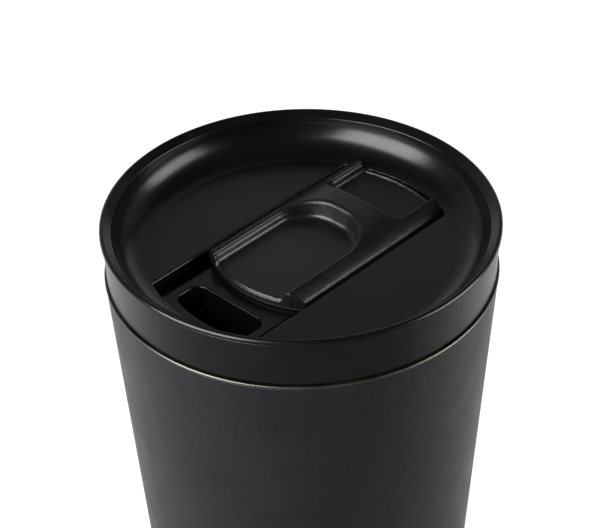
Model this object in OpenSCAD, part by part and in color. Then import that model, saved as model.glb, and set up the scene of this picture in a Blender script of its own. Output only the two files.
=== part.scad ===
// Insulated tumbler with a press-in lid and a sliding drink closure.
// Frame: origin at the centre of the footprint, +Z up, drinking opening
// toward -Y, slider opens toward +Y. Drawn lid on, slider fully open.

/* [Overall] */
// height from the table to the top of the lid rim
overall_h = 152; // [120:1:200]
// outer radius of the lid rim, the widest point
rim_r = 45; // [44.5:0.5:50]
// depth from the rim top down to the cup lip
lip_drop = 12.5; // [12.3:0.1:16]

/* [Cup] */
// outer radius of the cup wall at the top
cup_top_r = 44.5; // [43:0.5:54]
// radius lost per unit of height going down
cup_taper = 0.075; // [0:0.005:0.11]
// thickness of the outer steel wall
shell_t = 0.7; // [0.5:0.1:1.5]
// radius rolled round the lower edge of the cup
heel_r = 3.5; // [1.5:0.5:5.5]
// height of the steel above the table
heel_lift = 0.8; // [0.2:0.1:3]
// inner radius of the mouth of the liner
mouth_r = 42.3; // [41.5:0.1:43.5]
// thickness of the liner wall
liner_t = 0.6; // [0.4:0.1:1.5]
// depth of the straight collar at the liner mouth
mouth_depth = 11; // [8:0.5:12]
// inner radius of the liner just below that collar
liner_top_r = 40.6; // [32:0.1:42]
// inner radius of the liner at its floor
liner_floor_r = 31; // [20:0.5:40]
// height of the inside floor above the table
liner_floor_z = 10; // [6:0.5:25]
// inside floor corner radius
liner_corner = 9; // [3:0.5:15]

/* [Base] */
// outer radius of the pressed base disc
base_r = 28.4; // [28.2:0.1:30.4]
// outer radius of the rubber foot ring
foot_r = 27.5; // [22:0.1:27.6]
// inner radius of the rubber foot ring
foot_in_r = 20; // [14:0.5:21]

/* [Lid] */
// drop of the crease between the rim and the bowl
crease_drop = 1.28; // [0.5:0.01:1.5]
// radius of the crease between the rim and the bowl
crease_r = 42.35; // [38:0.05:42.8]
// depth of the dish floor under the rim top
dish_drop = 8.7; // [7:0.1:10.5]
// radius of the flat part of the dish floor
dish_r = 34.6; // [30:0.1:36]
// thickness of the dish moulding
dish_t = 1.1; // [0.8:0.1:2]
// height of the visible edge of the rim
rim_edge = 1.2; // [0.8:0.1:3]
// shadow gap between rim and band
rim_gap = 0.3; // [0.1:0.1:1]
// outer radius of the band at its top
band_top_r = 44.5; // [44:0.1:45]
// outer radius of the band at its bottom
band_low_r = 44.05; // [43:0.05:45]
// depth of the underside of the band
band_drop = 12.2; // [8:0.1:14]
// outer radius of the plug that enters the cup
plug_r = 40.9; // [38:0.1:41.5]
// depth of the underside of the plug
plug_drop = 19.6; // [19:0.1:30]

/* [Channel] */
// half width of the channel the slider runs in
chan_w = 15.5; // [14:0.1:16.5]
// half width of the raised channel floor
chan_floor_w = 13; // [10:0.1:13.4]
// depth of the channel floor under the rim top
chan_drop = 11.4; // [9.5:0.1:13]
// depth of the bottom of the side grooves
groove_drop = 14.5; // [13:0.1:18]
// depth of the underside of the overhanging lips
lip_under = 11.3; // [9.5:0.1:13]
// half width reached by the grooves under the lips
groove_w = 17; // [15:0.1:20]
// radius of the front end of the channel floor
chan_front_r = 33.9; // [28:0.1:38]
// radius of the rear end of the channel
chan_rear_r = 35.1; // [28:0.1:38]

/* [Openings] */
// half width of the drinking opening
drink_w = 10.6; // [6:0.1:11.5]
// distance from the axis to its straight rear edge
drink_rear = 22.5; // [18:0.1:25]
// radius of its curved front edge
drink_front_r = 31.3; // [28.5:0.1:33]
// corner radius of the drinking opening
drink_corner = 2.6; // [1:0.1:4]
// distance of the vent hole behind the axis
vent_y = 8; // [2:0.5:15]
// vent hole diameter
vent_d = 3; // [1:0.5:5]

/* [Slider] */
// distance the slider travels from open to closed
travel = 14.5; // [8:0.5:20]
// half width of the slider cover
cover_w = 14.85; // [14.2:0.05:15.4]
// radius of the rear end of the cover
cover_rear_r = 34.7; // [30:0.1:35]
// radius of the curved front edge of the cover
cover_front_r = 27; // [18:0.5:40]
// distance of the front edge ahead of the axis
cover_front = 19.1; // [14:0.1:22]
// drop of the crown of the cover
crown_drop = 4.4; // [2:0.1:8]
// radius of the crown across the middle
crown_r = 60; // [30:1:120]
// drop of the top of the arc that rounds both shoulders
shoulder_drop = 2.95; // [1:0.05:6]
// radius of that shoulder arc
shoulder_r = 22.25; // [16:0.25:60]
// drop of the thumb recess floor
recess_drop = 9.1; // [6:0.1:9.8]
// half width of the thumb recess
recess_w = 10.7; // [9.5:0.1:13]
// distance of the recess end behind the axis
recess_end = 12.8; // [5:0.1:16]
// corner radius of the recess end
recess_corner = 9; // [2:0.5:9]
// distance of the rear notch front edge behind the axis
notch_y = 19.3; // [16:0.1:24]
// corner radius of the rear notch
notch_corner = 3; // [1:0.5:6]

/* [Hidden] */
$fn = 96;
H = overall_h;
eps = 0.01;
lip_z = H - lip_drop;
lip_t = 0.55;
shell_top = lip_z - lip_t - 0.05;
slant = sqrt(1 + cup_taper * cup_taper);
heel_line_r = cup_top_r - cup_taper * (shell_top - heel_lift);
step_z = lip_z - mouth_depth;
step_h = 3;
taper_in = (liner_top_r - liner_floor_r) / (step_z - step_h - liner_floor_z);
base_top = 3.9;
foil_gap = 0.1;
foil_t = 0.1;
bowl_w = crease_r - dish_r;
bowl_h = dish_drop - crease_drop;
bowl_r = (bowl_w * bowl_w + bowl_h * bowl_h) / (2 * bowl_h);
bowl_z = H - dish_drop + bowl_r;
collar_r = crease_r + dish_t + 0.05;
collar_h = 0.4;
rim_fillet = 0.7;
band_t = 0.95;
ledge_t = 0.45;
root_t = 1.45;
root_drop = 5.5;
shelf_h = 1.3;
end_slope = 0.6;
chute_t = 1.4;
tray_w = groove_w + 1.4;
tray_bottom = groove_drop + 1.5;
tray_r = 37;
core_end = 31;
floor_t = 1.6;
plug_floor_t = 1.6;
plug_in_r = plug_r - 2.9;
seal_z = H - 16;
seal_h = 3;
seal_groove_r = plug_r - 1.5;
cover_under = 10.1;
plate_under = 11.1;
pad_under = 11.33;
pad_top = 10.5;
pad_grow = 1;
ridge_h = 0.45;
ridge_out = 0.25;
ridge_in = 0.8;

// half section of a tapered vessel filled solid, with a rounded heel
module vessel(top_r, top_z, low_r, low_z, k, fillet) {
    s = sqrt(1 + k * k);
    cx = low_r + k * fillet - fillet * s;
    cz = low_z + fillet;
    polygon([[0, low_z], [cx, low_z], [cx + fillet / s, cz - fillet * k / s],
             [top_r, top_z], [0, top_z]]);
    intersection() {
        translate([cx, cz]) circle(r = fillet);
        translate([0, low_z]) square([low_r + 5, 2 * fillet]);
    }
}

// flat ring section between two radii and two heights
module ring_section(r0, r1, z0, z1) {
    translate([r0, z0]) square([r1 - r0, z1 - z0]);
}

// ring section with rounded corners
module soft_section(r0, r1, z0, z1, c) {
    ring_section(r0 + c, r1 - c, z0, z1);
    ring_section(r0, r1, z0 + c, z1 - c);
    for (r = [r0 + c, r1 - c], z = [z0 + c, z1 - c])
        translate([r, z]) circle(r = c, $fn = 32);
}

module outer_shell() {
    color("#26272a") rotate_extrude() difference() {
        vessel(cup_top_r, shell_top, heel_line_r, heel_lift, cup_taper, heel_r);
        vessel(cup_top_r - shell_t * slant + cup_taper, shell_top + 1,
               heel_line_r - shell_t * slant + cup_taper * shell_t,
               heel_lift + shell_t, cup_taper, heel_r - shell_t);
        ring_section(-1, base_r + 0.05, 0, heel_lift + 2);
        ring_section(0, cup_top_r + 1, shell_top, shell_top + 2);
    }
}

// solid half section of the liner, grown outward by t
module liner_solid(t) {
    vessel(liner_top_r + t, step_z - step_h, liner_floor_r + t,
           liner_floor_z - t, taper_in, liner_corner + t);
    polygon([[0, step_z - step_h - eps], [liner_top_r + t, step_z - step_h - eps],
             [mouth_r + t, step_z], [mouth_r + t, lip_z - lip_t], [0, lip_z - lip_t]]);
}

module inner_liner() {
    color("#c9cbcd") rotate_extrude() {
        difference() {
            liner_solid(liner_t);
            liner_solid(0);
            ring_section(0, mouth_r, lip_z - lip_t - 1, lip_z);
        }
        soft_section(mouth_r, cup_top_r + 0.15, lip_z - lip_t, lip_z, 0.25);
    }
}

// bright foil round the tapered part of the liner
module foil_wrap() {
    z0 = liner_floor_z + liner_corner + 2;
    z1 = step_z - step_h - 4;
    function r_at(z) = liner_floor_r + liner_t * 1.01 + foil_gap
                     + taper_in * (z - liner_floor_z + liner_t);
    color("#d6d6d8") rotate_extrude()
        polygon([[r_at(z0), z0], [r_at(z0) + foil_t, z0],
                 [r_at(z1) + foil_t, z1], [r_at(z1), z1]]);
}

// pressed disc that closes the vacuum jacket, with a sealing dimple
module outer_base() {
    color("#bfc1c3") rotate_extrude() difference() {
        union() {
            ring_section(0, base_r, base_top - 0.7, base_top);
            ring_section(base_r - 0.7, base_r, heel_lift, base_top);
            ring_section(0, 4.2, base_top - 0.7, base_top + 0.9);
        }
        ring_section(-1, 3.5, base_top - 1, base_top + 0.2);
        ring_section(-1, 1, base_top - 1, base_top + 2);
    }
}

module getter() {
    color("#8b8d90") translate([14, 0, base_top + 0.02]) difference() {
        cylinder(d = 10, h = 1.4);
        translate([0, 0, 0.8]) cylinder(d = 7.6, h = 1);
    }
}

module vacuum_plug() {
    color("#7d7468") translate([0, 0, base_top - 0.6]) cylinder(r = 3.4, h = 0.7);
}

module base_cap() {
    color("#a9abae") difference() {
        translate([0, 0, 2]) cylinder(r = foot_in_r - 0.1, h = 0.8);
        translate([0, 0, 1.9]) cylinder(r = foot_in_r - 3, h = 0.4);
    }
}

module foot_ring() {
    color("#1c1c1d") rotate_extrude() difference() {
        union() {
            soft_section(foot_in_r, foot_r, 0, base_top - 0.75, 0.6);
            ring_section(foot_in_r, foot_r, 1.2, base_top - 0.75);
        }
        for (r = [(foot_in_r * 2 + foot_r) / 3, (foot_in_r + foot_r * 2) / 3])
            translate([r, 0]) circle(r = 0.4, $fn = 24);
    }
}

// plan of the drinking opening, grown by e
module drink_plan(e) {
    c = drink_corner + e;
    w = drink_w + e;
    r = drink_front_r + e;
    cy = sqrt(pow(r - c, 2) - pow(w - c, 2));
    rear = drink_rear - e;
    intersection() {
        circle(r = r);
        polygon([[c - w, -rear], [c - w, -cy], [1.3 * (c - w), -1.3 * cy],
                 [1.3 * (w - c), -1.3 * cy], [w - c, -cy], [w - c, -rear]]);
    }
    translate([-w, -cy]) square([2 * w, cy - rear - c]);
    for (s = [-1, 1], y = [-cy, -rear - c])
        translate([s * (w - c), y]) circle(r = c, $fn = 48);
}

// half section of the rim, bowl and dish floor
module dish_section() {
    edge = rim_fillet;
    polygon([[crease_r, H - crease_drop], [rim_r - edge, H], [rim_r - edge, H - rim_edge],
             [collar_r, H - rim_edge], [collar_r, H - rim_edge - collar_h],
             [crease_r, H - rim_edge - collar_h]]);
    ring_section(rim_r - edge - eps, rim_r, H - rim_edge, H - edge);
    intersection() {
        translate([rim_r - edge, H - edge]) circle(r = edge, $fn = 48);
        ring_section(rim_r - edge - eps, rim_r, H - edge - eps, H);
    }
    difference() {
        intersection() {
            translate([dish_r, bowl_z]) circle(r = bowl_r + dish_t);
            ring_section(dish_r - eps, rim_r, H - 20, H - crease_drop);
        }
        translate([dish_r, bowl_z]) circle(r = bowl_r);
    }
    ring_section(0, dish_r, H - dish_drop - dish_t, H - dish_drop);
}

// space of the channel: floor step, side grooves and undercuts
module channel_space() {
    up = chan_drop - dish_drop + 2;
    translate([0, 0, H - chan_drop]) intersection() {
        translate([-chan_w, -40, 0]) cube([2 * chan_w, 80, up]);
        union() {
            cylinder(r1 = chan_front_r, r2 = chan_front_r + end_slope * up, h = up);
            intersection() {
                cylinder(r = chan_rear_r, h = up - 1.8);
                translate([-chan_w, 0, 0]) cube([2 * chan_w, 40, up]);
            }
        }
    }
    intersection() {
        translate([0, 0, H - groove_drop]) cylinder(r = chan_front_r, h = 5);
        for (s = [-1, 1]) {
            translate([s * (chan_w + chan_floor_w) / 2, 0, H - (groove_drop + chan_drop - 0.4) / 2])
                cube([chan_w - chan_floor_w, 80, groove_drop - chan_drop + 0.4], center = true);
            translate([s * (chan_floor_w + groove_w) / 2, 0, H - (groove_drop + lip_under) / 2])
                cube([groove_w - chan_floor_w, 80, groove_drop - lip_under], center = true);
        }
    }
}

// the drinking opening and the vent, run through both mouldings
module through_holes() {
    translate([0, 0, H - plug_drop - 1]) linear_extrude(plug_drop - dish_drop + 1) {
        drink_plan(0);
        translate([0, vent_y]) circle(d = vent_d);
    }
}

// plan of the walls of the two chutes, filled
module chute_plan() {
    drink_plan(chute_t);
    translate([0, vent_y]) circle(d = vent_d + 2 * chute_t);
}

module lid_dish() {
    chute_low = H - plug_drop + plug_floor_t + 0.02;
    color("#18191b") difference() {
        union() {
            difference() {
                union() {
                    rotate_extrude() dish_section();
                    intersection() {
                        translate([-tray_w, -40, H - tray_bottom])
                            cube([2 * tray_w, 80, tray_bottom - dish_drop - 0.3]);
                        translate([0, 0, H - 20]) cylinder(r = tray_r, h = 20 - dish_drop);
                    }
                }
                channel_space();
                tray_core();
            }
            translate([0, 0, chute_low])
                linear_extrude(H - tray_bottom - chute_low + 0.1) chute_plan();
        }
        through_holes();
    }
}

// material cored out under the channel floor, leaving the two chutes
module tray_core() {
    w = chan_floor_w - chute_t;
    difference() {
        translate([-w, -core_end, H - tray_bottom - 1])
            cube([2 * w, 2 * core_end, tray_bottom - chan_drop - floor_t + 1]);
        translate([0, 0, H - 20]) linear_extrude(10) chute_plan();
    }
}

// half section of the band and the shelf that joins it to the plug
module band_section() {
    z_top = H - rim_edge - rim_gap;
    z_low = H - band_drop;
    ledge_z = H - rim_edge - 0.02;
    root_r = band_low_r - root_t;
    polygon([[plug_in_r, z_low], [band_low_r - 0.25, z_low], [band_low_r, z_low + 0.25],
             [band_top_r, z_top - 0.2], [band_top_r - 0.2, z_top], [band_top_r - ledge_t, z_top],
             [band_top_r - ledge_t, ledge_z], [band_top_r - band_t, ledge_z],
             [band_top_r - band_t, H - root_drop], [root_r, H - root_drop - 0.6],
             [root_r, z_low + shelf_h], [plug_in_r, z_low + shelf_h]]);
}

module lid_base() {
    low = H - plug_drop;
    color("#202124") difference() {
        rotate_extrude() difference() {
            union() {
                band_section();
                ring_section(plug_in_r, plug_r, low + 1, H - band_drop + eps);
                ring_section(0, plug_r - 1, low, low + plug_floor_t);
                translate([plug_r - 1, low + 1]) circle(r = 1, $fn = 48);
            }
            ring_section(seal_groove_r, plug_r + 1, seal_z - seal_h / 2, seal_z + seal_h / 2);
        }
        through_holes();
    }
}

// silicone ring with two wiping lips
module lid_gasket() {
    r0 = seal_groove_r + 0.05;
    r1 = mouth_r - 0.45;
    z0 = seal_z - seal_h / 2 + 0.05;
    z1 = seal_z + seal_h / 2 - 0.05;
    color("#2b2c2e") rotate_extrude() {
        ring_section(r0, plug_r, z0, z1);
        for (z = [z0, z1 - 0.8])
            translate([0, z]) polygon([[plug_r - eps, 0], [r1, 0.25], [r1, 0.6],
                                       [plug_r - eps, 0.8]]);
    }
}

// plan of the slider, pulled in by e
module slider_plan(e) {
    intersection() {
        translate([e - cover_w, -40]) square([2 * (cover_w - e), 80]);
        circle(r = cover_rear_r - e);
        translate([0, cover_front_r - cover_front]) union() {
            circle(r = cover_front_r - e);
            translate([-40, 0]) square([80, 80]);
        }
    }
}

// bar along Y whose top is an arc of radius r, crown at the given drop
module crowned_bar(drop, r, y0, y1) {
    translate([0, y1, 0]) rotate([90, 0, 0]) linear_extrude(y1 - y0) intersection() {
        translate([0, H - drop - r]) circle(r = r, $fn = 128);
        translate([-cover_w, H - cover_under]) square([2 * cover_w, cover_under]);
    }
}

// plan of the thumb recess, open toward the front
module recess_plan() {
    translate([-recess_w, -30]) square([2 * recess_w, 30 + recess_end - recess_corner]);
    square_w = recess_w - recess_corner;
    translate([-square_w, 0]) square([2 * square_w, recess_end]);
    for (s = [-1, 1]) translate([s * square_w, recess_end - recess_corner])
        circle(r = recess_corner, $fn = 64);
}

// plan of the rear notch, open toward the rear
module notch_plan() {
    w = recess_w - notch_corner;
    translate([-recess_w, notch_y + notch_corner]) square([2 * recess_w, 30]);
    translate([-w, notch_y]) square([2 * w, 30]);
    for (s = [-1, 1]) translate([s * w, notch_y + notch_corner])
        circle(r = notch_corner, $fn = 48);
}

// low ridge left round both ends of the two recesses
module end_ridge() {
    translate([0, 0, H - recess_drop - eps]) linear_extrude(ridge_h) difference() {
        slider_plan(ridge_out);
        slider_plan(ridge_in);
        translate([-20, -12]) square([40, 40 - 12]);
    }
}

// hollow under the bridge, with a rib down its middle
module bridge_core() {
    wall = 1.3;
    difference() {
        translate([-8, recess_end + wall, H - cover_under - 1])
            cube([16, notch_y - recess_end - 2 * wall, cover_under - crown_drop - 1.6]);
        translate([-0.6, recess_end, H - cover_under - 1]) cube([1.2, 10, 8]);
    }
}

module slider_cover() {
    color("#1a1b1d") difference() {
        intersection() {
            translate([0, 0, H - cover_under]) linear_extrude(8) slider_plan(0);
            crowned_bar(crown_drop, crown_r, -30, 40);
            crowned_bar(shoulder_drop, shoulder_r, -30, 40);
        }
        difference() {
            translate([0, 0, H - recess_drop]) linear_extrude(12) {
                recess_plan();
                notch_plan();
            }
            end_ridge();
        }
        bridge_core();
    }
}

// plate under the cover with four hooked legs running in the grooves
module slider_carriage() {
    leg_in = chan_floor_w + 0.3;
    leg_t = cover_w - 0.65 - leg_in;
    leg_low = groove_drop - 0.6;
    leg_len = 12;
    hook_out = groove_w - 0.4;
    color("#232426") {
        difference() {
            translate([0, 0, H - plate_under]) linear_extrude(plate_under - cover_under - 0.02)
                intersection() {
                    slider_plan(0.6);
                    circle(r = chan_front_r - 0.35);
                }
            translate([0, 0, H - plate_under - 1])
                linear_extrude(plate_under - pad_top + 1.02) {
                    translate([0, travel]) drink_plan(pad_grow + 0.05);
                    translate([0, vent_y + travel]) circle(d = vent_d + 4.1);
                }
        }
        for (s = [0, 1], y = [-11, 12]) mirror([s, 0, 0]) {
            translate([leg_in, y, H - leg_low])
                cube([leg_t, leg_len, leg_low - plate_under + 0.5]);
            translate([leg_in, y, H - leg_low])
                cube([hook_out - leg_in, leg_len, leg_low - lip_under - 0.3]);
        }
    }
}

module slider_seal() {
    color("#3a3b3d") translate([0, travel, H - pad_under])
        linear_extrude(pad_under - pad_top) drink_plan(pad_grow);
}

module vent_seal() {
    color("#3a3b3d") translate([0, vent_y + travel, H - pad_under])
        cylinder(d = vent_d + 4, h = pad_under - pad_top);
}

outer_shell();
inner_liner();
foil_wrap();
outer_base();
getter();
vacuum_plug();
base_cap();
foot_ring();
lid_dish();
lid_base();
lid_gasket();
slider_cover();
slider_carriage();
slider_seal();
vent_seal();
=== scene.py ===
"""Looks of the insulated tumbler: smooth turned steel, a moulded lid and a textured slider."""

import math

import bmesh
import bpy
import numpy as np
from mathutils import Matrix, Vector
from mathutils.geometry import delaunay_2d_cdt

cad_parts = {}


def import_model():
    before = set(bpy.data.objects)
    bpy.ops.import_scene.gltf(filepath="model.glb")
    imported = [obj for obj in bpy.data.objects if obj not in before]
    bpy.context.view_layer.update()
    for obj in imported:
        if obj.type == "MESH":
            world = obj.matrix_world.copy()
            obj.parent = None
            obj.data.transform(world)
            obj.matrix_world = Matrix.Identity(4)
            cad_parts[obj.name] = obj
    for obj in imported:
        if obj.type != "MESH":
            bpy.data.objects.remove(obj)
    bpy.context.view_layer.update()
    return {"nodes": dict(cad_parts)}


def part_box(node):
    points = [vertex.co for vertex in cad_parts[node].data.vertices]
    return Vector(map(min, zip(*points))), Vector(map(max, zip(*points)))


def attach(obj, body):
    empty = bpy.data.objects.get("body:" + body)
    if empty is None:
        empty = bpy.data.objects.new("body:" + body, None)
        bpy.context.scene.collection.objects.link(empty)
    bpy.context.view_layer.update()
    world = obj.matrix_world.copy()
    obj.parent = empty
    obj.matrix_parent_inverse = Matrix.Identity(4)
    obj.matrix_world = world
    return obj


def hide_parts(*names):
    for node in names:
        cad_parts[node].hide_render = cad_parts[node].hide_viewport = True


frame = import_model()

# ---------------------------------------------------------------- sizes, in millimetres
MM = 0.001
TURN_STEPS = 256
SHARP_ANGLE = 32


def corner(node, high, axis):
    """One face of a CAD node's box, in millimetres."""
    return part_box(node)[1 if high else 0][axis] / MM


H = corner("lid_dish", True, 2)
RIM_R = corner("lid_dish", True, 0)
CUP_R = corner("outer_shell", True, 0)
SHELL_TOP = corner("outer_shell", True, 2)
SHELL_LOW = corner("outer_shell", False, 2)
LIP_Z = corner("inner_liner", True, 2)
LIP_R = corner("inner_liner", True, 0)
PLUG_Z = corner("lid_base", False, 2)
COVER_W = corner("slider_cover", True, 0)
COVER_LOW = corner("slider_cover", False, 2)
COVER_REAR = corner("slider_cover", True, 1)
COVER_FRONT = corner("slider_cover", False, 1)

CUP_TAPER = 0.075
SHELL_T = 0.7
HEEL_R = 3.5
BASE_R = 28.45
MOUTH_R = 42.3
LINER_T = 0.6
LIP_T = 0.55
MOUTH_DEPTH = 11
STEP_H = 3
LINER_TOP_R = 40.6
LINER_FLOOR_R = 31
LINER_FLOOR_Z = 10
LINER_CORNER = 9
FOOT_IN_R = 20
CAP_STEP = 0.3

CREASE_R = 42.35
CREASE = 1.28
DISH = 8.7
DISH_R = 34.6
DISH_T = 1.1
RIM_EDGE = 1.2
RIM_GAP = 0.3
BAND_TOP_R = 44.5
BAND_LOW_R = 44.05
BAND_LOW = 12.2
PLUG_R = 40.9
PLUG_IN_R = 38
PLUG_FLOOR = 1.6
DISH_UNDER = 1.65
FIELD_R = 37
SEAL_Z = H - 16
SEAL_H = 3

CHAN_W = 15.5
CHAN_FLOOR_W = 13.0
CHAN = 11.4
GROOVE = 14.5
LIP_UNDER = 11.3
GROOVE_W = 17
CHAN_FRONT_R = 33.9
CHAN_END_R = 35.12
CHAN_END_SLOPE = 0.6

DRINK_W = 10.6
DRINK_REAR = 22.5
DRINK_FRONT_R = 31.3
DRINK_CORNER = 2.6
VENT_Y = 8
VENT_R = 1.5

COVER_FRONT_R = 27
CROWN_DROP = 4.4
CROWN_SQUARE = 0.00528
CROWN_FOURTH = 6.345e-5
RECESS = 9.1
RECESS_W = 10.9
RECESS_END = 12.8
RECESS_CORNER = 9.3
NOTCH_Y = 19.5
NOTCH_CORNER = 3.2


# ---------------------------------------------------------------- mesh building
def fillet_path(points, closed=True, steps=6):
    """Points (x, y, radius) with each corner of a radius above 0 turned into an arc."""
    out = []
    n = len(points)
    for i, (x, y, r) in enumerate(points):
        if r <= 0 or (not closed and i in (0, n - 1)):
            out.append((x, y))
            continue
        p = np.array([x, y], float)
        a = np.array(points[i - 1][:2], float) - p
        b = np.array(points[(i + 1) % n][:2], float) - p
        la, lb = np.linalg.norm(a), np.linalg.norm(b)
        a, b = a / la, b / lb
        half = math.acos(max(-1, min(1, float(a @ b)))) / 2
        t = min(r / math.tan(half), 0.95 * la, 0.95 * lb)
        r = t * math.tan(half)
        mid = (a + b) / np.linalg.norm(a + b)
        centre = p + mid * r / math.sin(half)
        start, end = p + a * t - centre, p + b * t - centre
        a0 = math.atan2(start[1], start[0])
        turn = (math.atan2(end[1], end[0]) - a0 + math.pi) % (2 * math.pi) - math.pi
        for k in range(steps + 1):
            ang = a0 + turn * k / steps
            out.append((centre[0] + r * math.cos(ang), centre[1] + r * math.sin(ang)))
    return out


def arc(cx, cy, r, a0, a1, steps):
    """Points along an arc, angles in degrees."""
    t = np.radians(np.linspace(a0, a1, steps + 1))
    return [(cx + r * math.cos(a), cy + r * math.sin(a)) for a in t]


def circle(r, steps):
    """Points round the Z axis, the first not repeated."""
    return arc(0, 0, r, 0, 360, steps)[:-1]


def level(z):
    """The height of a flat sheet."""
    return lambda x, y: np.full_like(x, z)


def signed_area(profile):
    """Area of a closed outline, above 0 when it runs counter-clockwise."""
    x, y = np.array(profile, float).T
    return 0.5 * float(np.sum(x * np.roll(y, -1) - np.roll(x, -1) * y))


class Shape:
    """Points and faces in millimetres, gathered into one mesh."""

    def __init__(self):
        self.points, self.faces, self.marks = [], [], []

    def add(self, points, faces):
        start = len(self.points)
        self.points.extend(tuple(map(float, p)) for p in points)
        self.faces.extend(tuple(start + i for i in f) for f in faces)
        self.marks.extend([0] * len(faces))

    def turn(self, profile, closed=True):
        """Turns a profile of (radius, z) round the Z axis; counter-clockwise faces outward."""
        steps = TURN_STEPS
        if closed and signed_area(profile) < 0:
            profile = profile[::-1]
        points, rings = [], []
        ang = np.arange(steps) * 2 * math.pi / steps
        for r, z in profile:
            if r < 1e-6:
                rings.append([len(points)] * steps)
                points.append((0, 0, z))
            else:
                rings.append(list(range(len(points), len(points) + steps)))
                points.extend((r * math.cos(a), r * math.sin(a), z) for a in ang)
        faces = []
        count = len(rings) if closed else len(rings) - 1
        for i in range(count):
            low, high = rings[i], rings[(i + 1) % len(rings)]
            for j in range(steps):
                k = (j + 1) % steps
                quad = []
                for v in (low[j], low[k], high[k], high[j]):
                    if v not in quad:
                        quad.append(v)
                if len(quad) > 2:
                    faces.append(quad)
        self.add(points, faces)

    def sheet(self, lines, inside, height, flip=False, mark=None, seeds=()):
        """A sheet over the XY plane whose edges follow the given lines. Returns its outline."""
        pts, edges = [], []
        for line, closed in lines:
            start = len(pts)
            pts.extend(line)
            n = len(line)
            edges.extend((start + i, start + (i + 1) % n) for i in range(n if closed else n - 1))
        pts.extend(seeds)
        flat, _, tris, *_ = delaunay_2d_cdt([Vector(p) for p in pts], edges, [], 0, 1e-5)
        flat = np.array([tuple(v) for v in flat])
        tris = np.array([t for t in tris if len(t) == 3])
        mid = flat[tris].mean(1)
        tris = tris[inside(mid[:, 0], mid[:, 1])]
        a, b, c = (flat[tris[:, i]] for i in range(3))
        cross = (b[:, 0] - a[:, 0]) * (c[:, 1] - a[:, 1]) - (b[:, 1] - a[:, 1]) * (c[:, 0] - a[:, 0])
        tris[cross < 0] = tris[cross < 0][:, ::-1]
        tris = tris[np.abs(cross) > 1e-9]
        z = height(flat[:, 0], flat[:, 1])
        owner = {}
        for t in tris.tolist():
            for u, v in ((t[0], t[1]), (t[1], t[2]), (t[2], t[0])):
                owner[(u, v)] = True
        outline = [(flat[u], flat[v], z[u], z[v]) for u, v in owner if (v, u) not in owner]
        order = tris[:, ::-1] if flip else tris
        points = np.column_stack([flat, z])
        marks = mark(*flat[order].mean(1).T) if mark else np.zeros(len(order), int)
        start = len(self.points)
        self.points.extend(map(tuple, points))
        self.faces.extend(tuple(start + i for i in t) for t in order.tolist())
        self.marks.extend(int(m) for m in marks)
        return outline

    def walls(self, outline, target, flip=False):
        """Walls from a sheet's outline to the height that target(x, y) gives, where it gives one."""
        for a, b, za, zb in outline:
            low = target(*((a + b) / 2))
            if low is None:
                continue
            quad = [(b[0], b[1], zb), (a[0], a[1], za), (a[0], a[1], low), (b[0], b[1], low)]
            self.add(quad[::-1] if flip else quad, [(0, 1, 2, 3)])

    def make(self, name, body, nodes, materials):
        """The finished piece, smooth except at corners sharper than SHARP_ANGLE."""
        mesh = bpy.data.meshes.new(name)
        mesh.from_pydata([Vector(p) * MM for p in self.points], [], self.faces)
        for m in materials:
            mesh.materials.append(m)
        mesh.polygons.foreach_set("material_index", self.marks)
        bm = bmesh.new()
        bm.from_mesh(mesh)
        bmesh.ops.remove_doubles(bm, verts=bm.verts, dist=1.5e-6)
        bmesh.ops.dissolve_degenerate(bm, dist=1e-7, edges=bm.edges)
        bm.to_mesh(mesh)
        bm.free()
        mesh.shade_smooth()
        mesh.set_sharp_from_angle(angle=math.radians(SHARP_ANGLE))
        obj = bpy.data.objects.new(name, mesh)
        bpy.context.scene.collection.objects.link(obj)
        even = obj.modifiers.new("even_normals", "WEIGHTED_NORMAL")
        even.keep_sharp = True
        even.weight = 60
        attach(obj, body)
        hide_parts(*nodes)
        return obj


def drop_of(d, r):
    """How far a rounded edge of radius r has fallen at distance d from its wall."""
    e = np.clip(r - d, 0, r)
    return r - np.sqrt(np.maximum(r * r - e * e, 0))


def round_steps(r, steps=5):
    """Distances from a wall at which a rounded edge of radius r gets its points."""
    return [r * (1 - math.cos(math.radians(90 * k / steps))) for k in range(steps + 1)]


# ---------------------------------------------------------------- materials
EDGE_WEAR_AND_SHEEN_FROM, EDGE_WEAR_AND_SHEEN_TO = 0.52, 0.62
SCUFF_AND_SHEEN_SCALE = 900
GLOSS_SCALE = 3.1
FINE_SCALE, FINE_SHARE = 2.6, 0.45


def node(tree, kind, **values):
    """A shader node with its sockets or properties set."""
    n = tree.nodes.new(kind)
    for key, value in values.items():
        if key in n.inputs:
            n.inputs[key].default_value = value
        else:
            setattr(n, key, value)
    return n


def noise(tree, coords, scale, detail=3.0):
    n = node(tree, "ShaderNodeTexNoise", Scale=scale, Detail=detail, Roughness=0.55)
    tree.links.new(coords, n.inputs["Vector"])
    return n.outputs["Fac"]


def ramp(tree, fac, low, high, a=0.3, b=0.7):
    """Maps fac between a and b to the range low..high."""
    n = node(tree, "ShaderNodeMapRange")
    n.inputs["From Min"].default_value = a
    n.inputs["From Max"].default_value = b
    n.inputs["To Min"].default_value = low
    n.inputs["To Max"].default_value = high
    tree.links.new(fac, n.inputs["Value"])
    return n.outputs["Result"]


def two_colours(tree, fac, dark, light):
    """A colour between dark (fac 0) and light (fac 1)."""
    n = tree.nodes.new("ShaderNodeMix")
    n.data_type = "RGBA"
    n.inputs["A"].default_value = (*dark, 1)
    n.inputs["B"].default_value = (*light, 1)
    tree.links.new(fac, n.inputs["Factor"])
    return n.outputs["Result"]


def bump(tree, height, depth, normal=None):
    """Relief of the given depth, on top of an earlier normal where there is one."""
    n = node(tree, "ShaderNodeBump", Strength=1.0, Distance=depth)
    tree.links.new(height, n.inputs["Height"])
    if normal is not None:
        tree.links.new(normal, n.inputs["Normal"])
    return n.outputs["Normal"]


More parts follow.
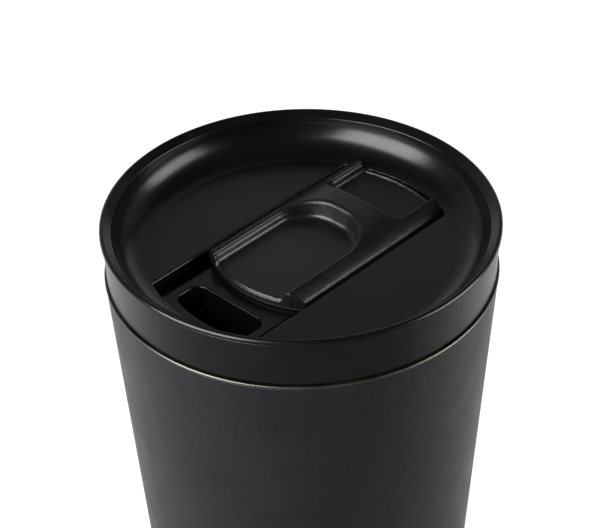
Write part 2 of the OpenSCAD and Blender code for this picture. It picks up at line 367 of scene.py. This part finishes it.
def surface(name, dark, light, rough, grain, depth, ior=1.33, metal=0.0,
            blotch=70, edge=0.25, stretch=None):
    """A moulded, coated or brushed surface: blotchy colour and gloss, fine grain, and edges lightened
    partly as wear and partly as a painted highlight.
    """
    m = bpy.data.materials.new(name)
    m.use_nodes = True
    t = m.node_tree
    shader = t.nodes["Principled BSDF"]
    shader.inputs["Metallic"].default_value = metal
    shader.inputs["IOR"].default_value = ior
    where = node(t, "ShaderNodeTexCoord").outputs["Object"]
    spot = where
    if stretch:
        scale = node(t, "ShaderNodeMapping")
        scale.inputs["Scale"].default_value = stretch
        t.links.new(where, scale.inputs["Vector"])
        spot = scale.outputs["Vector"]
    cloud = noise(t, where, blotch, 4)
    colour = two_colours(t, ramp(t, cloud, 0, 1), dark, light)
    # Convex edges are lightened by up to edge: partly wear, partly a painted highlight along the edges.
    wear_and_sheen = ramp(t, node(t, "ShaderNodeNewGeometry").outputs["Pointiness"], 0, edge, EDGE_WEAR_AND_SHEEN_FROM, EDGE_WEAR_AND_SHEEN_TO)
    scuff_and_sheen = node(t, "ShaderNodeMath", operation="MULTIPLY")
    t.links.new(wear_and_sheen, scuff_and_sheen.inputs[0])
    t.links.new(noise(t, where, SCUFF_AND_SHEEN_SCALE, 3), scuff_and_sheen.inputs[1])
    edge_wear_and_sheen = t.nodes.new("ShaderNodeMix")
    edge_wear_and_sheen.data_type = "RGBA"
    edge_wear_and_sheen.inputs["B"].default_value = (*[min(1, c * 4 + 0.02) for c in light], 1)
    t.links.new(scuff_and_sheen.outputs[0], edge_wear_and_sheen.inputs["Factor"])
    t.links.new(colour, edge_wear_and_sheen.inputs["A"])
    t.links.new(edge_wear_and_sheen.outputs["Result"], shader.inputs["Base Color"])
    t.links.new(ramp(t, noise(t, where, blotch * GLOSS_SCALE, 5), *rough), shader.inputs["Roughness"])
    coarse = bump(t, noise(t, spot, grain, 2), depth)
    fine = bump(t, noise(t, spot, grain * FINE_SCALE, 2), depth * FINE_SHARE, coarse)
    t.links.new(fine, shader.inputs["Normal"])
    return m


def with_parting_line(m, half_width, depth):
    """Adds a moulding line down the drinking side to a material's bump."""
    t = m.node_tree
    shader = t.nodes["Principled BSDF"]
    before = shader.inputs["Normal"].links[0].from_socket
    where = node(t, "ShaderNodeTexCoord").outputs["Object"]
    split = node(t, "ShaderNodeSeparateXYZ")
    t.links.new(where, split.inputs[0])
    size = node(t, "ShaderNodeMath", operation="ABSOLUTE")
    t.links.new(split.outputs["X"], size.inputs[0])
    line = ramp(t, size.outputs[0], 1, 0, 0, half_width)
    t.links.new(bump(t, line, depth, before), shader.inputs["Normal"])
    return m


POWDER = surface("powder_coat", (0.0035, 0.0036, 0.0041), (0.0055, 0.0057, 0.0063), (0.42, 0.5),
                 2000, 0.00008, 1.28, blotch=45, edge=0.1)
BAND = with_parting_line(
    surface("band_satin", (0.0016, 0.0016, 0.0018), (0.0024, 0.0025, 0.0027), (0.29, 0.35),
            3200, 0.0000035, 1.3, blotch=60, edge=0.1), 0.00012, 0.00003)
DISH_MAT = surface("dish_satin", (0.0015, 0.0015, 0.0016), (0.0022, 0.0023, 0.0024), (0.22, 0.26),
                   2400, 0.000009, 1.3, blotch=50, edge=0.1)
SPARK = surface("slider_spark", (0.0025, 0.0027, 0.0026), (0.0045, 0.0048, 0.0046), (0.28, 0.36),
                1500, 0.000065, 1.29, blotch=110, edge=0.1)
SLICK = surface("slider_smooth", (0.003, 0.0033, 0.0038), (0.0045, 0.0048, 0.0055), (0.26, 0.32),
                3000, 0.000006, 1.33, blotch=80, edge=0.1)
HIDDEN_PLASTIC = surface("carriage_plain", (0.008, 0.008, 0.009), (0.012, 0.012, 0.013), (0.4, 0.5),
                         2500, 0.00001, 1.4, edge=0.1)
SILICONE = surface("silicone", (0.014, 0.014, 0.015), (0.022, 0.022, 0.024), (0.5, 0.62),
                   2800, 0.000012, 1.4, edge=0.05)
RUBBER = surface("foot_rubber", (0.01, 0.01, 0.01), (0.018, 0.018, 0.0175), (0.6, 0.75),
                 1800, 0.00003, 1.4, edge=0.15)
STEEL = surface("liner_steel", (0.2, 0.197, 0.188), (0.28, 0.275, 0.262), (0.2, 0.33),
                900, 0.000004, 1.5, metal=1, blotch=40, edge=0.0, stretch=(1, 1, 9))
LIP_STEEL = surface("lip_steel", (0.07, 0.067, 0.056), (0.11, 0.105, 0.09), (0.3, 0.42),
                    1500, 0.000006, 1.5, metal=1, edge=0.0)
BASE_STEEL = surface("base_steel", (0.42, 0.42, 0.415), (0.56, 0.56, 0.55), (0.28, 0.42),
                     1200, 0.000006, 1.5, metal=1, edge=0.0)
FOIL = surface("foil", (0.6, 0.6, 0.61), (0.78, 0.78, 0.79), (0.15, 0.3), 500, 0.00004, 1.5, metal=1)
GETTER = surface("getter_metal", (0.2, 0.2, 0.2), (0.32, 0.32, 0.31), (0.4, 0.6), 2500, 0.00002,
                 1.5, metal=1)
BEAD = surface("seal_bead", (0.12, 0.11, 0.09), (0.2, 0.18, 0.15), (0.1, 0.25), 700, 0.00001, 1.55)


# ---------------------------------------------------------------- cup
def outer_shell():
    def wall_r(z, inset=0.0):
        return CUP_R - CUP_TAPER * (SHELL_TOP - z) - inset

    low = SHELL_LOW
    profile = fillet_path([
        (BASE_R, low, 0.1), (wall_r(low), low, HEEL_R), (CUP_R, SHELL_TOP, 0.28),
        (CUP_R - SHELL_T, SHELL_TOP, 0.1),
        (wall_r(low + SHELL_T, SHELL_T), low + SHELL_T, HEEL_R - SHELL_T),
        (BASE_R, low + SHELL_T, 0.1)], steps=10)
    s = Shape()
    s.turn(profile)
    s.make("cup_shell", "cup", ["outer_shell"], [POWDER])


def inner_liner():
    step_z = LIP_Z - MOUTH_DEPTH
    low_z = step_z - STEP_H
    lip_low = LIP_Z - LIP_T
    profile = fillet_path([
        (0, LINER_FLOOR_Z, 0), (LINER_FLOOR_R, LINER_FLOOR_Z, LINER_CORNER),
        (LINER_TOP_R, low_z, 4), (MOUTH_R, step_z, 4), (MOUTH_R, LIP_Z, 0.26),
        (LIP_R, LIP_Z, 0.26), (LIP_R, lip_low, 0.26), (MOUTH_R + LINER_T, lip_low, 0.1),
        (MOUTH_R + LINER_T, step_z, 4), (LINER_TOP_R + LINER_T, low_z, 4),
        (LINER_FLOOR_R + LINER_T, LINER_FLOOR_Z - LINER_T, LINER_CORNER + LINER_T),
        (0, LINER_FLOOR_Z - LINER_T, 0)], steps=10)
    s = Shape()
    s.turn(profile)
    on_lip = [math.hypot(x, y) > MOUTH_R + 0.01 and z > lip_low - 0.01 for x, y, z in s.points]
    s.marks = [int(all(on_lip[i] for i in face)) for face in s.faces]
    s.make("cup_liner", "cup", ["inner_liner"], [STEEL, LIP_STEEL])


def foot():
    r0, r1, z1 = FOOT_IN_R, corner("foot_ring", True, 0), corner("foot_ring", True, 2)
    groove = ((-0.4, 0), (-0.25, 0.38), (0.25, 0.38), (0.4, 0))
    points = [(r0, z1, 0.1), (r0, 0, 0.6)]
    for g in ((r0 * 2 + r1) / 3, (r0 + r1 * 2) / 3):
        points += [(g + x, z, 0.12) for x, z in groove]
    points += [(r1, 0, 0.6), (r1, z1, 0.1)]
    s = Shape()
    s.turn(fillet_path(points, steps=5))
    s.make("foot_ring_rubber", "cup", ["foot_ring"], [RUBBER])


def base_cap():
    low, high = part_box("base_cap")
    r, z0, z1 = high.x / MM, low.z / MM, high.z / MM
    s = Shape()
    s.turn(fillet_path([
        (0, z0 + CAP_STEP, 0), (r - 3.1, z0 + CAP_STEP, 0.3), (r - 2.7, z0, 0.3), (r, z0, 0.25),
        (r, z1, 0.1), (0, z1, 0)], steps=6))
    s.make("base_cap_disc", "cup", ["base_cap"], [BASE_STEEL])


# ---------------------------------------------------------------- lid
BOWL_W, BOWL_H = CREASE_R - DISH_R, DISH - CREASE
BOWL_R = (BOWL_W ** 2 + BOWL_H ** 2) / (2 * BOWL_H)
BOWL_Z = H - DISH + BOWL_R
DRINK_CORNER_Y = -math.sqrt((DRINK_FRONT_R - DRINK_CORNER) ** 2 - (DRINK_W - DRINK_CORNER) ** 2)
RAMP_SOFT, END_FOOT = 0.35, 0.4


def bowl_z(rho):
    """Height of the dish floor and bowl wall at radius rho."""
    out = np.clip(rho - DISH_R, 0, BOWL_W)
    return BOWL_Z - np.sqrt(BOWL_R ** 2 - out * out)


def drink_offset(x, y):
    """Distance outside the drinking opening's edge."""
    c, cy = DRINK_CORNER, DRINK_CORNER_Y
    ax = np.abs(x)
    rho = np.hypot(x, y)
    front = np.where(y < cy, rho - DRINK_FRONT_R, -1e3)
    side = np.maximum(ax - DRINK_W, np.maximum(y + DRINK_REAR, front))
    in_front = (ax > DRINK_W - c) & (y < cy) & (ax * -cy > (DRINK_W - c) * -y)
    corner_f = np.hypot(ax - (DRINK_W - c), y - cy) - c
    in_rear = (ax > DRINK_W - c) & (y > -DRINK_REAR - c)
    corner_r = np.hypot(ax - (DRINK_W - c), y + DRINK_REAR + c) - c
    return np.where(in_front, corner_f, np.where(in_rear, corner_r, side))


def drink_line(e):
    """The drinking opening's edge, grown by e."""
    c, cy = DRINK_CORNER, DRINK_CORNER_Y
    x0 = DRINK_W - c
    lean = math.degrees(math.atan2(cy, x0))
    half = arc(x0, -DRINK_REAR - c, c + e, 90, 0, 10) + arc(x0, cy, c + e, 0, lean, 8)
    front = arc(0, 0, DRINK_FRONT_R + e, lean, -180 - lean, 24)[1:-1]
    return half + front + [(-x, y) for x, y in half[::-1]]


def off_vent(x, y):
    """Distance outside the vent's edge."""
    return np.hypot(x, y - VENT_Y) - VENT_R


def vent_line(d):
    """The vent's edge, grown by d."""
    return arc(0, VENT_Y, VENT_R + d, 0, 360, 32)[:-1]


def round_field(x, y):
    """Where the lid's floor is solid: inside the field, outside both openings."""
    return (np.hypot(x, y) < FIELD_R) & (drink_offset(x, y) > 0) & (off_vent(x, y) > 0)


def end_floor_z(x, y):
    """Channel floor with the ramp at its front end and the wall foot at its rear end."""
    rho = np.hypot(x, y)
    floor = H - CHAN
    ramp_z = floor + (rho - CHAN_FRONT_R) / CHAN_END_SLOPE
    front = 0.5 * (floor + ramp_z + np.sqrt((floor - ramp_z) ** 2 + RAMP_SOFT * RAMP_SOFT)) - 0.02
    back = floor + drop_of(CHAN_END_R - rho, END_FOOT)
    top = bowl_z(rho) - 0.05
    return np.where(y < 0, np.minimum(front, top), back)


def channel_line(e):
    """The channel's outline, grown by e."""
    w, r = CHAN_W + e, CHAN_END_R + e
    a = math.degrees(math.asin(w / r))
    sides = np.linspace(-1, 1, 61)[1:-1] * r * math.cos(math.radians(a))
    right = [(w, y) for y in sides]
    top = arc(0, 0, r, 90 - a, 90 + a, 36)
    return right + top + [(-x, y) for x, y in right[::-1]] + [(-x, -y) for x, y in top]


def lid_dish():
    s = Shape()
    under_r = BOWL_R + DISH_T
    a_in = math.degrees(math.asin((FIELD_R - DISH_R) / BOWL_R))
    a_under = math.degrees(math.asin((FIELD_R - DISH_R) / under_r))
    a_crease = math.degrees(math.asin(BOWL_W / BOWL_R))
    a_collar = math.degrees(math.acos((BOWL_Z - H + RIM_EDGE + 0.4) / under_r))
    floor_under = PLUG_Z + DISH_UNDER
    bowl = arc(DISH_R, BOWL_Z, BOWL_R, -90 + a_crease, -90 + a_in, 44)
    rim = fillet_path([
        (CREASE_R + DISH_T, H - RIM_EDGE - 0.35, 0), (CREASE_R + DISH_T, H - RIM_EDGE, 0.1),
        (RIM_R, H - RIM_EDGE, 0.15), (RIM_R, H, 0.75), (RIM_R - 0.85, H, 0.5),
        (CREASE_R, H - CREASE, 0.3), (*bowl[3], 0)], closed=False, steps=7)
    profile = [(FIELD_R, floor_under)] + arc(DISH_R, BOWL_Z, under_r, -90 + a_under, -90 + a_collar, 14)
    profile += rim + bowl[4:]
    s.turn(profile, closed=False)

    edge = 0.45
    ring = circle(FIELD_R, TURN_STEPS)
    lines = [(ring, True)]
    lines += [(channel_line(d), True) for d in round_steps(edge) + [edge + 0.06, edge + 0.5]]
    # rings that carry the bend from the dish floor into the bowl wall
    lines += [(circle(r, 180), True) for r in (DISH_R, 35.2, 35.7, 36.2, 36.6)]
    seeds = [(x, y) for x in np.arange(-34, 35, 2.0) for y in np.arange(-34, 35, 2.0)]

    def outside(x, y):
        return np.maximum(np.abs(x) - CHAN_W, np.hypot(x, y) - CHAN_END_R)

    outline = s.sheet(lines, lambda x, y: (outside(x, y) > 0) & (np.hypot(x, y) < FIELD_R),
                      lambda x, y: bowl_z(np.hypot(x, y)) - drop_of(outside(x, y), edge), seeds=seeds)

    under = H - LIP_UNDER
    groove = H - GROOVE

    def below_dish(x, y):
        rho = math.hypot(x, y)
        if rho > FIELD_R - 0.3:
            return None
        if abs(abs(x) - CHAN_W) < 1e-3 and math.hypot(CHAN_W, y) < CHAN_FRONT_R:
            return under
        return float(end_floor_z(np.array(x), np.array(y)))

    s.walls(outline, below_dish)

    # the floor between the grooves, with the drinking opening and the vent
    lip_edge, hole_edge, vent_edge = 0.25, 0.45, 0.25

    def off_groove(x, y):
        return np.maximum(CHAN_FLOOR_W - np.abs(x), np.hypot(x, y) - CHAN_FRONT_R)

    def floor_z(x, y):
        z = end_floor_z(x, y) - drop_of(off_groove(x, y), lip_edge)
        return z - drop_of(drink_offset(x, y), hole_edge) - drop_of(off_vent(x, y), vent_edge)

    lines = [(channel_line(0), True)]
    for d in round_steps(lip_edge) + [lip_edge + 0.06]:
        half = [(CHAN_FLOOR_W - d, y) for y in np.linspace(-34.2, 34.2, 50)]
        lines += [(half, False), ([(-x, y) for x, y in half], False)]
        for base in (0, 180):
            lines.append((arc(0, 0, CHAN_FRONT_R + d, base + 55, base + 125, 44), False))
    lines += [(drink_line(d), True) for d in round_steps(hole_edge, 7) + [hole_edge + 0.06]]
    lines += [(vent_line(d), True) for d in round_steps(vent_edge) + [vent_edge + 0.05]]
    # arcs that carry the ramp and the rounded wall foot at the channel's ends
    for r in (33.3, 33.5, 33.7, 34.1, 34.3, 34.5, 34.7, 34.85, 34.95, 35.05):
        lines += [(arc(0, 0, r, base + 60, base + 120, 36), False) for base in (0, 180)]
    outline = s.sheet(lines, lambda x, y: (outside(x, y) < 0) & (off_groove(x, y) > 0)
                      & (drink_offset(x, y) > 0) & (off_vent(x, y) > 0), floor_z)

    def below_floor(x, y):
        if float(drink_offset(np.array(x), np.array(y))) < 0.02 or float(off_vent(x, y)) < 0.02:
            return floor_under
        if abs(float(off_groove(np.array(x), np.array(y)))) < 0.02:
            return groove
        return None

    s.walls(outline, below_floor)

    # groove bottoms and the undersides of the overhanging lips
    for side in (-1, 1):
        for x0, z, flip in ((CHAN_FLOOR_W, groove, False), (CHAN_W, under, True)):
            ends = [math.degrees(math.acos(x / CHAN_FRONT_R)) for x in (x0, GROOVE_W)]
            top = arc(0, 0, CHAN_FRONT_R, ends[1], ends[0], 10)
            loop = [(side * x, y) for x, y in top + [(x, -y) for x, y in top[::-1]]]
            edges = s.sheet([(loop, True)], lambda x, y: (np.abs(x) > x0) & (np.abs(x) < GROOVE_W)
                            & (np.hypot(x, y) < CHAN_FRONT_R), level(z), flip=flip)
            if not flip:
                s.walls(edges, lambda x, y: under if abs(x) > CHAN_W else None)

    # flat underside, closed against the lower moulding
    lines = [(ring, True), (drink_line(0), True), (vent_line(0), True)]
    s.sheet(lines, round_field, level(floor_under), flip=True)
    s.make("lid_top", "lid", ["lid_dish"], [DISH_MAT])


def lid_base():
    s = Shape()
    top = H - RIM_EDGE - RIM_GAP
    low = H - BAND_LOW
    ridge = H - RIM_EDGE - 0.02
    wall_z = H - 5.5
    inner = BAND_LOW_R - 1.45
    groove_r = PLUG_R - 1.5
    floor_top = PLUG_Z + PLUG_FLOOR
    profile = fillet_path([
        (FIELD_R, PLUG_Z, 0), (PLUG_R, PLUG_Z, 1.0), (PLUG_R, SEAL_Z - SEAL_H / 2, 0.15),
        (groove_r, SEAL_Z - SEAL_H / 2, 0.1), (groove_r, SEAL_Z + SEAL_H / 2, 0.1),
        (PLUG_R, SEAL_Z + SEAL_H / 2, 0.15), (PLUG_R, low, 0.3), (BAND_LOW_R, low, 0.3),
        (BAND_TOP_R, top, 0.22), (BAND_TOP_R - 0.45, top, 0.05), (BAND_TOP_R - 0.45, ridge, 0.05),
        (BAND_TOP_R - 0.95, ridge, 0.05), (BAND_TOP_R - 0.95, wall_z, 0.2), (inner, wall_z - 0.6, 0.2),
        (inner, low + 1.3, 0.3), (PLUG_IN_R, low + 1.3, 0.3), (PLUG_IN_R, floor_top, 0.5),
        (FIELD_R, floor_top, 0)], closed=False, steps=6)
    s.turn(profile, closed=False)
    ring = circle(FIELD_R, TURN_STEPS)

    edge = 0.3
    lines = [(ring, True)] + [(drink_line(d), True) for d in round_steps(edge) + [edge + 0.06]]
    lines += [(vent_line(d), True) for d in round_steps(edge) + [edge + 0.06]]
    outline = s.sheet(lines, round_field, lambda x, y: PLUG_Z + drop_of(drink_offset(x, y), edge)
                      + drop_of(off_vent(x, y), edge), flip=True)
    s.walls(outline, lambda x, y: floor_top if math.hypot(x, y) < FIELD_R - 0.5 else None, flip=True)
    lines = [(ring, True), (drink_line(0), True), (vent_line(0), True)]
    s.sheet(lines, round_field, level(floor_top))
    s.make("lid_lower", "lid", ["lid_base"], [BAND])


def lid_gasket():
    low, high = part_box("lid_gasket")
    r0, r1 = PLUG_R - 1.45, high.x / MM
    z0, z1 = low.z / MM, high.z / MM
    points = [(r0, z0, 0.1)]
    for z in (z0, z1 - 0.8):
        points += [(PLUG_R, z, 0.2), (r1, z + 0.22, 0.18), (r1, z + 0.62, 0.18), (PLUG_R, z + 0.8, 0.25)]
    points += [(r0, z1, 0.1)]
    s = Shape()
    s.turn(fillet_path(points, steps=5))
    s.make("gasket_ring", "lid", ["lid_gasket"], [SILICONE])


# ---------------------------------------------------------------- slider
def crown_z(x):
    """Top of the slider: one crowned section along its whole length, falling off at the shoulders."""
    return H - CROWN_DROP - CROWN_SQUARE * x ** 2 - CROWN_FOURTH * x ** 4


def cover_inside(x, y):
    """Distance inside the slider's outline."""
    cy = COVER_FRONT_R + COVER_FRONT
    front = np.where(y < cy, COVER_FRONT_R - np.hypot(x, y - cy), 1e3)
    return np.minimum(np.minimum(COVER_W - np.abs(x), COVER_REAR - np.hypot(x, y)), front)


def cover_line(e):
    """The slider's outline pulled in by e."""
    w, rear, front = COVER_W - e, COVER_REAR - e, COVER_FRONT_R - e
    cy = COVER_FRONT_R + COVER_FRONT
    a = math.degrees(math.asin(w / rear))
    b = math.degrees(math.asin(w / front))
    y0, y1 = cy - front * math.cos(math.radians(b)), rear * math.cos(math.radians(a))
    right = [(w, y) for y in np.linspace(y0, y1, 90)[1:-1]]
    return (arc(0, cy, front, -90 - b, -90 + b, 48) + right + arc(0, 0, rear, 90 - a, 90 + a, 48)
            + [(-x, y) for x, y in right[::-1]])


def pocket_offset(x, y, end, r, sign):
    """Distance outside a pocket that is open toward -Y (sign 1) or +Y (sign -1)."""
    qx = np.abs(x) - (RECESS_W - r)
    qy = sign * (y - end) + r
    return np.hypot(np.maximum(qx, 0), np.maximum(qy, 0)) + np.minimum(np.maximum(qx, qy), 0) - r


def pocket_line(d, end, r, sign, reach):
    """The pocket's edge grown by d."""
    w, c = RECESS_W - r, r + d
    ys = np.linspace(reach, end - sign * r, 60)[:-1]
    half = [(w + c, y) for y in ys]
    turn = arc(w, end - sign * r, c, 0, sign * 90, 14)
    across = [(x, end + sign * d) for x in np.linspace(w, -w, 12)[1:-1]]
    left = [(-x, y) for x, y in (half + turn)[::-1]]
    return half + turn + across + left


CREST, LEAN, FOOT = 1.2, 0.4, 1.4
OUTER_EDGE = 0.5
RIDGE_AT, RIDGE_HALF, RIDGE_H = 0.55, 0.42, 0.42


def pocket_floor(x, y):
    """Recess floor with the low ridge left along the open end."""
    t = np.abs(cover_inside(x, y) - RIDGE_AT) / RIDGE_HALF
    bumped = np.where(t < 1, 0.5 + 0.5 * np.cos(np.pi * np.clip(t, 0, 1)), 0)
    return H - RECESS + RIDGE_H * bumped


def pocketed(d, top, floor):
    """Height across a pocket's edge: crest, leaning wall, foot and floor."""
    high, low = top - CREST, floor + FOOT
    low = np.minimum(low, high - 0.05)
    foot_r = np.maximum(low - floor, 0.01)
    z = np.where(d >= CREST, top, top - drop_of(d, CREST))
    t = np.clip(-d / LEAN, 0, 1)
    z = np.where(d < 0, high + (low - high) * t, z)
    out = np.clip((-LEAN - d) / FOOT, 0, 1)
    curve = foot_r * (1 - np.sqrt(np.maximum(1 - (1 - out) ** 2, 0)))
    return np.where(d < -LEAN, floor + curve, z)


def cover_z(x, y):
    """Top of the slider with its recess, notch and rounded outer edge."""
    floor = pocket_floor(x, y)
    d = np.minimum(pocket_offset(x, y, RECESS_END, RECESS_CORNER, 1),
                   pocket_offset(x, y, NOTCH_Y, NOTCH_CORNER, -1))
    z = pocketed(d, crown_z(x), floor)
    return z - drop_of(cover_inside(x, y), OUTER_EDGE)


def slider_cover():
    s = Shape()
    lines = [(cover_line(e), True) for e in round_steps(OUTER_EDGE) + [0.57, 0.65, 0.8, 0.97, 1.05]]
    steps = [CREST + 0.5, CREST + 0.07] + round_steps(CREST, 9) + [-LEAN / 2, -LEAN]
    steps += [-LEAN - FOOT + FOOT * math.cos(math.radians(90 - 11.25 * k)) for k in range(8)]
    steps += [-LEAN - 0.04, -LEAN - FOOT, -LEAN - FOOT - 0.08]
    for d in sorted(set(round(v, 4) for v in steps)):
        lines.append((pocket_line(d, RECESS_END, RECESS_CORNER, 1, -21), False))
        lines.append((pocket_line(d, NOTCH_Y, NOTCH_CORNER, -1, 35.5), False))
    seeds = [(x, y) for x in np.arange(-15, 15.1, 0.75) for y in np.arange(-18, 34.5, 0.75)]

    def smooth_zone(x, y):
        d = pocket_offset(x, y, RECESS_END, RECESS_CORNER, 1)
        return ((d < -LEAN) & (cover_inside(x, y) > 0.3)).astype(int)

    outline = s.sheet(lines, lambda x, y: cover_inside(x, y) > 0, cover_z, mark=smooth_zone, seeds=seeds)
    s.walls(outline, lambda x, y: COVER_LOW)
    s.sheet([(cover_line(0), True)], lambda x, y: cover_inside(x, y) > 0, level(COVER_LOW), flip=True)
    s.make("slider_saddle", "slider", ["slider_cover"], [SPARK, SLICK])


def kept_nodes():
    """CAD pieces whose shape stays: each gets a proper material, and the slider carriage a small bevel.
    """
    looks = {"slider_carriage": HIDDEN_PLASTIC, "slider_seal": SILICONE, "vent_seal": SILICONE,
             "foil_wrap": FOIL, "outer_base": BASE_STEEL, "getter": GETTER, "vacuum_plug": BEAD}
    for name, look in looks.items():
        obj = frame["nodes"][name]
        obj.data.materials.clear()
        obj.data.materials.append(look)
        if name == "slider_carriage":
            soft = obj.modifiers.new("soft_edges", "BEVEL")
            soft.width = 0.12 * MM
            soft.segments = 2
            soft.limit_method = "ANGLE"
            soft.angle_limit = math.radians(50)


outer_shell()
inner_liner()
foot()
base_cap()
lid_dish()
lid_base()
lid_gasket()
slider_cover()
kept_nodes()

# ---------------------------------------------------------------- camera, floor and lights
VIEW_AZ = math.radians(44.1)
VIEW_EL = math.radians(35.34)
VIEW_DIST = 0.495
VIEW_TILT = math.radians(1.2255)
VIEW_ROLL = math.radians(-1.4234)
VIEW_YAW = math.radians(0.0469)
LENS = 133.19
FLOOR_HALF, FLOOR_Z = 3, -0.00005
rim_centre = Vector((0, 0, H * MM))


def around(azimuth, elevation, distance):
    """A point seen from the rim's centre, azimuth in degrees to the camera's right."""
    a = VIEW_AZ + math.radians(azimuth)
    e = math.radians(elevation)
    out = Vector((math.sin(a) * math.cos(e), -math.cos(a) * math.cos(e), math.sin(e)))
    return rim_centre + distance * out


def camera():
    data = bpy.data.cameras.new("camera")
    data.sensor_width = 36
    data.lens = LENS
    data.clip_start = 0.01
    cam = bpy.data.objects.new("camera", data)
    bpy.context.scene.collection.objects.link(cam)
    e = VIEW_EL + VIEW_TILT
    flat = Vector((math.sin(VIEW_AZ), -math.cos(VIEW_AZ), 0))
    right = Vector((math.cos(VIEW_AZ), math.sin(VIEW_AZ), 0))
    back = flat * math.cos(e) + Vector((0, 0, math.sin(e)))
    up = back.cross(right)
    cy, sy = math.cos(VIEW_YAW), math.sin(VIEW_YAW)
    back, right = cy * back + sy * right, cy * right - sy * back
    cr, sr = math.cos(VIEW_ROLL), math.sin(VIEW_ROLL)
    right, up = cr * right + sr * up, -sr * right + cr * up
    place = Matrix((right, up, back)).transposed().to_4x4()
    place.translation = around(0, math.degrees(VIEW_EL), VIEW_DIST)
    cam.matrix_world = place
    bpy.context.scene.camera = cam


def floor():
    """White to the camera by a painted glow; in reflections the glow is dark in front of the cup,
    painted shade there, and bright behind it.
    """
    m = bpy.data.materials.new("floor_glow_white")
    m.use_nodes = True
    t = m.node_tree
    shader = t.nodes["Principled BSDF"]
    where = node(t, "ShaderNodeTexCoord").outputs["Object"]
    t.links.new(two_colours(t, noise(t, where, 30), (0.1, 0.1, 0.1), (0.12, 0.12, 0.12)),
                shader.inputs["Base Color"])
    shader.inputs["Emission Color"].default_value = (1, 1, 1, 1)
    # Painted light: the glow fades to 0.04 in front of the cup and rises to full strength behind it.
    behind = node(t, "ShaderNodeVectorMath", operation="DOT_PRODUCT")
    behind.inputs[1].default_value = (-math.sin(VIEW_AZ), math.cos(VIEW_AZ), 0)
    t.links.new(where, behind.inputs[0])
    bright = node(t, "ShaderNodeMath", operation="MULTIPLY_ADD")
    bright.inputs[1].default_value = 10
    t.links.new(node(t, "ShaderNodeLightPath").outputs["Is Camera Ray"], bright.inputs[0])
    t.links.new(behind.outputs["Value"], bright.inputs[2])
    t.links.new(ramp(t, bright.outputs[0], 0.04, 1.0, -0.12, 0.06), shader.inputs["Emission Strength"])
    shader.inputs["Roughness"].default_value = 0.9
    shader.inputs["Specular IOR Level"].default_value = 0.1
    mesh = bpy.data.meshes.new("floor")
    corners = ((-1, -1), (1, -1), (1, 1), (-1, 1))
    mesh.from_pydata([(FLOOR_HALF * x, FLOOR_HALF * y, FLOOR_Z) for x, y in corners], [], [(0, 1, 2, 3)])
    mesh.materials.append(m)
    obj = bpy.data.objects.new("floor", mesh)
    bpy.context.scene.collection.objects.link(obj)


def softbox(name, azimuth, elevation, distance, width, height, radiance):
    """A lamp of the given size and brightness that faces the rim's centre."""
    data = bpy.data.lights.new(name, "AREA")
    data.shape = "RECTANGLE"
    data.size, data.size_y = width, height
    data.energy = radiance * (math.pi * width * height)
    lamp = bpy.data.objects.new(name, data)
    bpy.context.scene.collection.objects.link(lamp)
    lamp.location = around(azimuth, elevation, distance)
    lamp.rotation_euler = (lamp.location - rim_centre).to_track_quat("Z", "Y").to_euler()


def world():
    w = bpy.data.worlds.new("studio")
    bpy.context.scene.world = w
    w.use_nodes = True
    t = w.node_tree
    sky = t.nodes["Background"]
    sky.inputs["Color"].default_value = (1, 1, 1, 1)
    seen = node(t, "ShaderNodeLightPath").outputs["Is Camera Ray"]
    t.links.new(ramp(t, seen, 0.05, 1.0, 0, 1), sky.inputs["Strength"])


camera()
floor()
softbox("key_box", -54, 20, 0.9, 0.85, 0.85, 18)
softbox("right_box", 83, 10, 0.8, 0.55, 0.6, 11)
softbox("side_box", -135, 22, 0.9, 0.5, 0.6, 0.3)
softbox("far_right_box", 125, 20, 0.9, 0.5, 0.6, 0.3)
softbox("back_box", 180, 14, 1.1, 1.3, 0.45, 0.8)
softbox("high_box", 180, 38, 1.3, 1.2, 0.5, 0.35)
world()
bpy.context.scene.view_settings.view_transform = "Standard"
